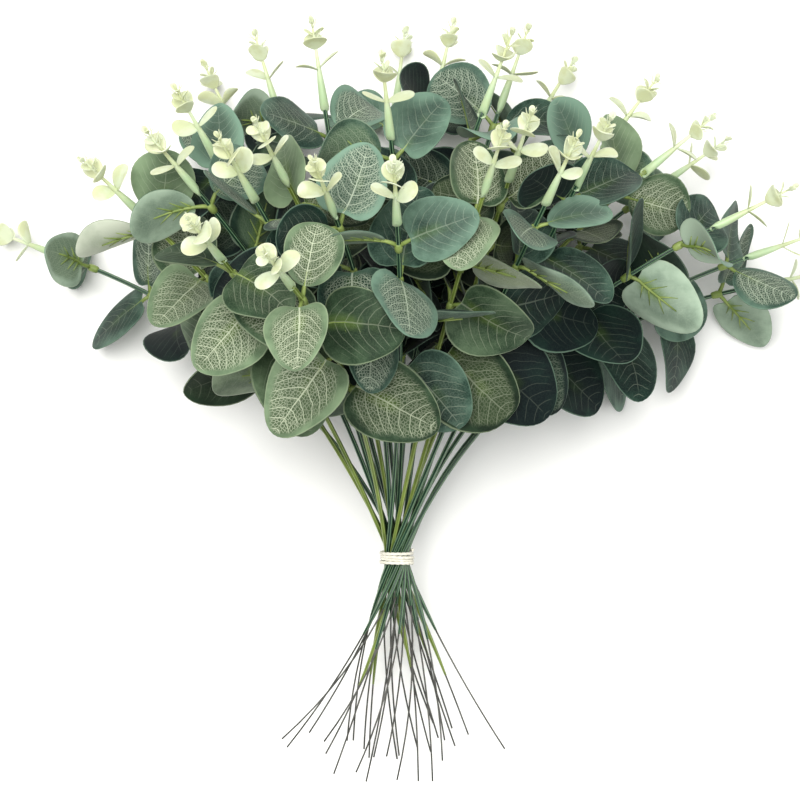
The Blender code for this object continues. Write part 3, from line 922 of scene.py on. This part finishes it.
def makeStem(pick):
    shape = bmesh.new()
    shape.verts.layers.float.new("ridge")
    kept, added = stem["oliveCoat" if pick["olive"] else "darkCoat"]
    coatEnd = pick["coatShare"] * kept + added
    below = [bend(pick["lower"], share) + shift for share in evenSteps(coatEnd, 0, stem["coatSteps"])[:-1]]
    above = [bend(pick["upper"], share) + shift for share in evenSteps(0, 1, stem["steps"])]
    route = below + above
    waist = pick["upper"][0] + shift
    radii = []
    for point in route:
        squeezed = math.exp(-((point - waist).length / stem["waistReach"]) ** 2)
        radii.append(stem["radius"] + (stem["waistRadius"] - stem["radius"]) * squeezed)
    # the coating thins out towards its lower end
    thinning = stem["thinning"]
    radii[:len(thinning)] = [radius * share for radius, share in zip(radii, thinning)]
    sweepRod(shape, route, radii, stem["ridges"] * 2, ribbed=stem["grooveDepth"])
    wireShares = evenSteps(coatEnd - stem["wireInside"], 1, stem["wireSteps"])
    wire = [bend(pick["lower"], share) + shift for share in wireShares]
    sweepRod(shape, wire, [stem["wireRadius"]] * len(wire), stem["roundCorners"], material=1)
    for share in pick["whorls"]:
        point = bend(pick["upper"], share) + shift
        axis = (bend(pick["upper"], share + bunch["ahead"]) + shift - point).normalized()
        collar = [point + axis * reach for reach, radius in stem["collar"]]
        collarRadii = [radius for reach, radius in stem["collar"]]
        sweepRod(shape, collar, collarRadii, stem["roundCorners"], material=2)
    for pose in pick["leaves"]:
        addPetiole(shape, pose)
    finishes = (oliveCoat if pick["olive"] else darkCoat, steelWire, stalkPlastic)
    newPiece(pick["name"] + "_wiredStem", shape, finishes, [pick["name"] + "_stem"])


for pick in picks:
    makeStem(pick)
print("stems made")

# bud sprays

bud = {
    "seed": 900,
    "smoothing": 1,
    # (reach along the axis from the stem's end, radius), from inside the socket outwards
    "tube": ((-0.0080, 0.0019), (-0.0083, 0.0025), (-0.0066, 0.0023), (0.0030, 0.0019), (0.0085, 0.0014),
             (0.0120, 0.0010), (0.0200, 0.0008), (0.0270, 0.0006), (0.0325, 0.0005), (0.0360, 0.0003)),
    "tubeCorners": 8,
    # (reach along the axis, angle from it, roll round it, length, width) of each pair
    "pairs": ((0.0105, 58, 0, 0.0122, 0.8), (0.0195, 44, 90, 0.0106, 1.0), (0.0262, 40, 10, 0.0058, 0.8),
              (0.0315, 30, 80, 0.0042, 0.7)),
    "rollJitter": 12,
    "lengthShares": (0.86, 1.06),
    "openings": (-14, 10),
    "reachJitter": 0.0006,
    "widthShares": (0.85, 1.1),
    "leafSteps": (4, 6),
    "thickness": 0.0005,
    "rootNarrowing": 0.3,
    "turnJitter": 0.5,
    "cups": (-0.2, 0.6),
    "curls": (-0.2, 0.7),
    "notches": (0, 0, 0.18, 0.3),
    # (reach along the axis, angle from it, roll round it, length) of each twiglet
    "fork": ((0.0235, 46, 40, 0.0062), (0.0290, 38, 130, 0.0060), (0.0290, 38, 310, 0.0052)),
    "forkRollJitter": 30,
    "forkAngleJitter": 8,
    "forkCorners": 5,
    "forkRadii": (0.0005, 0.0004, 0.00015),
    "forkKnee": 0.55,
    "forkEnd": (0.9, 0.4),
    "twigRadii": (0.00035, 0.0003, 0.00012),
    "twigKnee": 0.25,
    "twigEnd": (0.4, 0.2),
    # the mint of the socket fades along the axis from this reach on, over this length
    "mintEnd": 0.002,
    "mintFade": 0.013,
    "mint": (0.39, 0.53, 0.31),
    "cream": (0.5, 0.54, 0.32),
    "pale": (0.57, 0.63, 0.44),
    "patchSize": 110.0,
    "grainSize": 900.0,
    "paleLimits": (0.2, 0.9),
    "leastMint": 0.7,
    "roughness": (0.35, 0.55),
    "bump": (0.12, 0.0002),
    "glow": 0.35,
    "glowRadius": (0.004, 0.004, 0.003),
}


def makeBudPlastic():
    material, tree, shader = newMaterial("paleBudPlastic")
    sizes = {"Patch Size": bud["patchSize"], "Grain Size": bud["grainSize"]}
    mottled = useGroup(tree, mottle, Vector=objectPlace(tree), **sizes)
    patches, grain = mottled["Patches"], mottled["Grain"]
    mint = band(tree, patches, 0.0, 1.0, bud["leastMint"], 1.0)
    mint = maths(tree, "MULTIPLY", readValue(tree, "mint"), mint)
    coloured = blendColours(tree, band(tree, patches, *bud["paleLimits"]), bud["cream"], bud["pale"])
    coloured = blendColours(tree, mint, coloured, bud["mint"])
    tree.links.new(coloured, shader.inputs["Base Color"])
    tree.links.new(band(tree, grain, 0.0, 1.0, *bud["roughness"]), shader.inputs["Roughness"])
    bump(tree, shader, grain, *bud["bump"])
    setShader(shader, Subsurface_Weight=bud["glow"], Subsurface_Radius=bud["glowRadius"],
              Subsurface_Scale=1.0)
    return material


budPlastic = makeBudPlastic()


def addBudLeaf(shape, root, axis, out, angle, length, width, draw):
    # a small leaf: narrow at its root, broad and now and then notched at its end, rolled and cupped by chance
    along = axis * math.cos(angle) + out * math.sin(angle)
    rolled = Matrix.Rotation(jitter(draw, bud["turnJitter"]), 3, along)
    normal = rolled @ (axis * math.sin(angle) - out * math.cos(angle))
    side = along.cross(normal)
    cup = draw.uniform(*bud["cups"])
    curl = draw.uniform(*bud["curls"])
    notch = draw.choice(bud["notches"])
    columns, rows = bud["leafSteps"]
    made = bmesh.ops.create_grid(shape, x_segments=columns, y_segments=rows, size=1)["verts"]
    faces = {face for corner in made for face in corner.link_faces}
    for corner in made:
        turn = (corner.co.y + 1) * math.pi / 2
        across = corner.co.x
        run = (1 - math.cos(turn)) / 2
        run -= notch * (1 - abs(across)) * max(0, -math.cos(turn))
        offset = across * math.sin(turn) * (1 - bud["rootNarrowing"] * math.cos(turn)) * width / 2
        lift = cup * offset ** 2 * 2 - curl * run * run / 2
        corner.co = root + (along * run + side * offset + normal * lift) * length
    bmesh.ops.remove_doubles(shape, verts=made, dist=mergeDistance)
    faces = [face for face in faces if face.is_valid]
    bmesh.ops.solidify(shape, geom=faces, thickness=bud["thickness"])


def addTwiglet(shape, start, axis, out, angle, length):
    # it forks once more, like a small antler
    along = axis * math.cos(angle) + out * math.sin(angle)
    knee = start + along * length * bud["forkKnee"]
    ahead, aside = bud["forkEnd"]
    end = start + (along * ahead + axis * aside) * length
    sweepRod(shape, [start, knee, end], bud["forkRadii"], bud["forkCorners"])
    ahead, aside = bud["twigEnd"]
    twig = [knee, knee + out * length * bud["twigKnee"], knee + (out * ahead + axis * aside) * length]
    sweepRod(shape, twig, bud["twigRadii"], bud["forkCorners"])


def makeSpray(pick):
    draw = random.Random(bud["seed"] + pick["number"])
    shape = bmesh.new()
    mint = shape.verts.layers.float.new("mint")
    axis, tip = pick["tipAxis"], pick["tip"] + shift
    across, rising = crossAxes(axis)
    tube = [tip + axis * reach for reach, radius in bud["tube"]]
    sweepRod(shape, tube, [radius for reach, radius in bud["tube"]], bud["tubeCorners"])
    for reach, angle, roll, length, width in bud["pairs"]:
        for sideTurn in (0, 180):
            turn = math.radians(roll + sideTurn + jitter(draw, bud["rollJitter"]))
            out = across * math.cos(turn) + rising * math.sin(turn)
            size = length * draw.uniform(*bud["lengthShares"])
            opened = math.radians(angle + draw.uniform(*bud["openings"]))
            root = tip + axis * (reach + jitter(draw, bud["reachJitter"]))
            broad = width * draw.uniform(*bud["widthShares"])
            addBudLeaf(shape, root, axis, out, opened, size, broad, draw)
    for reach, angle, roll, length in bud["fork"]:
        turn = math.radians(roll + jitter(draw, bud["forkRollJitter"]))
        opened = math.radians(angle + jitter(draw, bud["forkAngleJitter"]))
        out = across * math.cos(turn) + rising * math.sin(turn)
        addTwiglet(shape, tip + axis * reach, axis, out, opened, length)
    for corner in shape.verts:
        reach = (corner.co - tip).dot(axis)
        corner[mint] = clamped(1 - (reach - bud["mintEnd"]) / bud["mintFade"], 0.0, 1.0)
    for face in shape.faces:
        face.smooth = True
    name = pick["name"]
    piece = newPiece(name + "_budSpray", shape, (budPlastic,), [name + "_spray"])
    soften(piece, bud["smoothing"])


for pick in picks:
    makeSpray(pick)
print("sprays made")

# twine tie

twine = {
    "turns": 4,
    "radius": 0.0071,
    "pitch": 0.0016,
    "sway": 0.0003,
    "swayRate": 0.77,
    "swayStart": 0.6,
    "bulge": 0.0003,
    "bulgeRate": 0.62,
    "strands": 3,
    "strandRadius": 0.00045,
    "strandOffset": 0.00036,
    "strandCorners": 6,
    "twistPitch": 0.0075,
    "steps": 60,
    "pale": (0.80, 0.78, 0.68),
    "shaded": (0.54, 0.51, 0.41),
    "patchSize": 500.0,
    "grainSize": 4000.0,
    "bump": (0.5, 0.0002),
    "roughness": 0.85,
    "sheen": 0.2,
    "sheenRoughness": 0.5,
}


def makeTwineCotton():
    material, tree, shader = newMaterial("offWhiteTwine")
    sizes = {"Patch Size": twine["patchSize"], "Grain Size": twine["grainSize"]}
    mottled = useGroup(tree, mottle, Vector=objectPlace(tree), **sizes)
    shade = maths(tree, "MULTIPLY", mottled["Patches"], mottled["Grain"])
    tree.links.new(blendColours(tree, shade, twine["pale"], twine["shaded"]), shader.inputs["Base Color"])
    bump(tree, shader, mottled["Grain"], *twine["bump"])
    setShader(shader, Roughness=twine["roughness"], Sheen_Weight=twine["sheen"],
              Sheen_Roughness=twine["sheenRoughness"])
    return material


def makeTie():
    shape = bmesh.new()
    centre = bunch["tieCentre"] + shift
    total = twine["turns"] * twine["steps"]
    for strand in range(twine["strands"]):
        route = []
        for step in range(total + 1):
            turn = 2 * math.pi * step / twine["steps"]
            along = (step / twine["steps"] - twine["turns"] / 2) * twine["pitch"]
            # hand-wound turns lie a little crooked, and now and then one bulges over its neighbour
            along += twine["sway"] * math.sin(turn * twine["swayRate"] + twine["swayStart"])
            radius = twine["radius"] + twine["bulge"] * (1 + math.sin(turn * twine["bulgeRate"]))
            out = Vector((math.cos(turn), 0, math.sin(turn)))
            middle = centre + Vector((0, along, bunch["rise"] * along)) + out * radius
            lay = 2 * math.pi * (turn * twine["radius"] / twine["twistPitch"] + strand / twine["strands"])
            aside = out * math.cos(lay) + Vector((0, 1, 0)) * math.sin(lay)
            route.append(middle + aside * twine["strandOffset"])
        sweepRod(shape, route, [twine["strandRadius"]] * len(route), twine["strandCorners"])
    newPiece("twineTie", shape, (makeTwineCotton(),), ["tie"])


makeTie()
print("tie made")

# floor, light and camera

studio = {
    "cameraHeight": 1.35,
    "frameWidth": 0.3816,
    "aim": (0.00143, 0.0749),
    "sensorWidth": 36,
    "floor": (0.94, 0.94, 0.93),
    "floorSize": 3,
    "floorRoughness": 0.9,
    "floorSpecular": 0.1,
    "skyColour": (1.0, 1.0, 0.985),
    "skyStrength": 0.37,
    "lightTarget": Vector((0, 0.06, 0.1)),
    # (name, place, size in metres, power in watts, colour)
    "lights": (
        ("keyLight", (-0.3, 0.42, 1.95), 1.3, 54, (1.0, 0.99, 0.96)),
        ("fillLight", (0.9, -0.3, 1.7), 1.4, 11, (0.98, 1.0, 0.99)),
    ),
}


def makeStudio():
    shape = bmesh.new()
    bmesh.ops.create_grid(shape, x_segments=1, y_segments=1, size=studio["floorSize"])
    mesh = bpy.data.meshes.new("paleFloor")
    shape.to_mesh(mesh)
    shape.free()
    floor = bpy.data.objects.new("paleFloor", mesh)
    bpy.context.scene.collection.objects.link(floor)
    material, tree, shader = newMaterial("paleFloor")
    setShader(shader, Base_Color=(*studio["floor"], 1), Roughness=studio["floorRoughness"],
              Specular_IOR_Level=studio["floorSpecular"])
    mesh.materials.append(material)
    world = bpy.data.worlds.new("softSky")
    world.use_nodes = True
    sky = world.node_tree.nodes["Background"].inputs
    sky["Color"].default_value = (*studio["skyColour"], 1)
    sky["Strength"].default_value = studio["skyStrength"]
    bpy.context.scene.world = world
    for name, spot, size, power, colour in studio["lights"]:
        lamp = bpy.data.lights.new(name, "AREA")
        lamp.shape = "DISK"
        lamp.size = size
        lamp.energy = power
        lamp.color = colour
        holder = bpy.data.objects.new(name, lamp)
        holder.location = spot
        holder.rotation_euler = (studio["lightTarget"] - Vector(spot)).to_track_quat("-Z", "Y").to_euler()
        bpy.context.scene.collection.objects.link(holder)


def makeCamera():
    tie = bunch["tieCentre"] + shift
    lens = bpy.data.cameras.new("overhead")
    lens.sensor_width = studio["sensorWidth"]
    lens.lens = studio["sensorWidth"] * studio["cameraHeight"] / studio["frameWidth"]
    camera = bpy.data.objects.new("overhead", lens)
    camera.location = tie + Vector((*studio["aim"], studio["cameraHeight"]))
    bpy.context.scene.collection.objects.link(camera)
    bpy.context.scene.camera = camera
    bpy.context.scene.view_settings.view_transform = "Standard"


makeStudio()
makeCamera()
